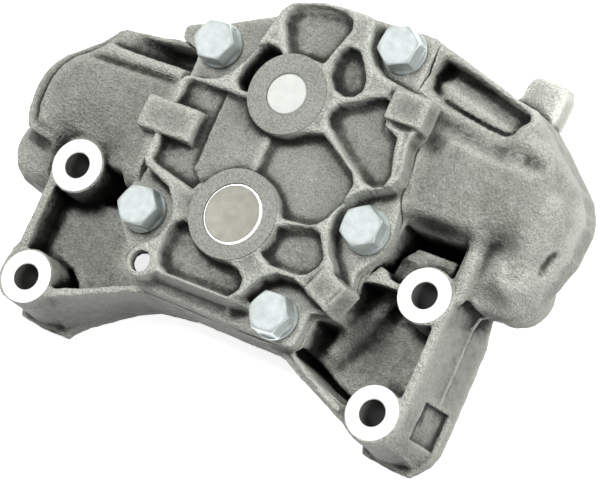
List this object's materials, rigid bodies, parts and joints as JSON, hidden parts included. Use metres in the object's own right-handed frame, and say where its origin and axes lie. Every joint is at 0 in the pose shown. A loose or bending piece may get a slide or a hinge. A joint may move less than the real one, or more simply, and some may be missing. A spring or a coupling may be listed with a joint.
{
  "type": "engine oil pump",
  "caption": "Gear-type engine oil pump: cast-iron housing on four tall mounting bosses, ribbed bolted cover with two shaft ends, rear drive gear and a sprung relief valve.",
  "frame": {"origin": "axis of the drive shaft in the plane of the feet", "axes": "+Z from the feet to the cover side along the drive shaft, +X along the long side of the mounting rectangle towards the outlet chamber, +Y from the drive shaft to the idler shaft"},
  "size_m": [0.2468, 0.1665, 0.051],
  "materials": {
    "cast_body": "sand cast, grey, fine pebbly grain",
    "cast_cover": "sand cast, grey, fine pebbly grain, ribs slightly brighter",
    "zinc_bolts": "zinc plated, pale bluish, slightly mottled",
    "turned_steel": "turned, fine circular marks",
    "ground_steel": "ground bright",
    "gear_steel": "hobbed and case hardened, oiled",
    "spring_steel": "blackened spring steel",
    "bronze": "sintered bronze, dull",
    "seal_rubber": "moulded, matt black",
    "soft_washer": "soft aluminium, dull"
  },
  "bodies": {
    "root": {"pump_housing": "cast_body", "pump_cover": "cast_cover", "cover_bolts": "zinc_bolts", "dowel_pins": "ground_steel", "idler_shaft": "ground_steel", "cover_bush": "bronze", "housing_bush": "bronze", "thrust_washer": "bronze", "inlet_port_seal": "seal_rubber", "outlet_port_seal": "seal_rubber", "relief_spring": "spring_steel", "relief_plug": "zinc_bolts", "relief_plug_washer": "soft_washer", "gallery_plug": "spring_steel"},
    "drive_rotor": {"drive_shaft": "turned_steel", "pump_gear_key": "ground_steel", "drive_gear_key": "ground_steel", "drive_pump_gear": "gear_steel", "drive_gear": "gear_steel", "drive_gear_circlip": "spring_steel"},
    "idler_rotor": {"idler_pump_gear": "gear_steel", "idler_bush": "bronze"},
    "relief_valve": {"relief_piston": "ground_steel"}
  },
  "joints": [
    {"name": "drive_spin", "type": "hinge", "parent": "root", "child": "drive_rotor", "pos_m": [0, 0, 0.027], "axis": [0, 0, 1], "continuous": true},
    {"name": "idler_spin", "type": "hinge", "parent": "root", "child": "idler_rotor", "pos_m": [0, 0.0525, 0.027], "axis": [0, 0, 1], "continuous": true},
    {"name": "relief_slide", "type": "slide", "parent": "root", "child": "relief_valve", "axis": [0, 0, -1], "range_m": [0, 0.007], "stiffness_N_per_m": 5000, "springref_m": -0.004, "deforming": ["relief_spring"]}
  ],
  "couplings": [
    {"joint": "idler_spin", "follows": "drive_spin", "ratio": -1}
  ]
}
